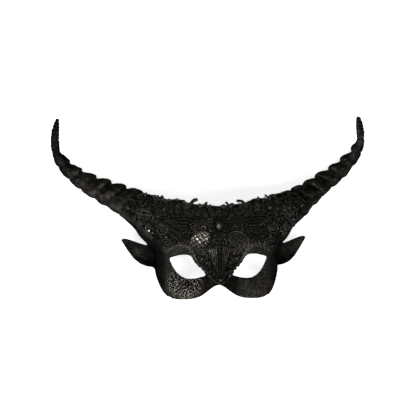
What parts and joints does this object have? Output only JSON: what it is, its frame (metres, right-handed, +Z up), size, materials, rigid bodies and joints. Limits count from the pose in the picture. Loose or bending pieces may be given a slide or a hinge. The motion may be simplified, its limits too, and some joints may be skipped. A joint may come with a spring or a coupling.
{
  "type": "horned eye mask",
  "caption": "Black half mask with two long ringed horns, pointed ears, almond eye openings, a lace collar over brow and nose, an oval gem and small stones",
  "frame": {"origin": "on the floor under the middle of the bounding box, with the mask lying on its back", "axes": "+X across the mask to its left as worn, +Y from the chin edge up to the horn tips, +Z up out of the face"},
  "size_m": [0.3894, 0.2258, 0.0745],
  "materials": {
    "black_moulding": "black painted moulding with a fine crackle, satin to wet gloss",
    "black_lace": "black corded lace, lacquered",
    "black_metal": "blackened metal, half gloss",
    "jet_stone": "black faceted stone, mirror polish",
    "crystal": "smoke grey faceted stone with a dark foil back"
  },
  "bodies": {
    "root": {"mask_shell": "black_moulding", "lace_applique": "black_lace", "gem_setting": "black_metal", "forehead_gem": "jet_stone", "rhinestone_right_01": "crystal", "rhinestone_right_02": "crystal", "rhinestone_right_03": "crystal", "rhinestone_right_04": "crystal", "rhinestone_right_05": "crystal", "rhinestone_right_06": "crystal", "rhinestone_right_07": "crystal", "rhinestone_right_08": "crystal", "rhinestone_right_09": "crystal", "rhinestone_right_10": "crystal", "rhinestone_right_11": "crystal", "rhinestone_right_12": "crystal", "rhinestone_right_13": "crystal", "rhinestone_left_01": "crystal", "rhinestone_left_02": "crystal", "rhinestone_left_03": "crystal", "rhinestone_left_04": "crystal", "rhinestone_left_05": "crystal", "rhinestone_left_06": "crystal", "rhinestone_left_07": "crystal", "rhinestone_left_08": "crystal", "rhinestone_left_09": "crystal", "rhinestone_left_10": "crystal", "rhinestone_left_11": "crystal", "rhinestone_left_12": "crystal", "rhinestone_left_13": "crystal", "rhinestone_nose": "crystal"}
  },
  "joints": []
}
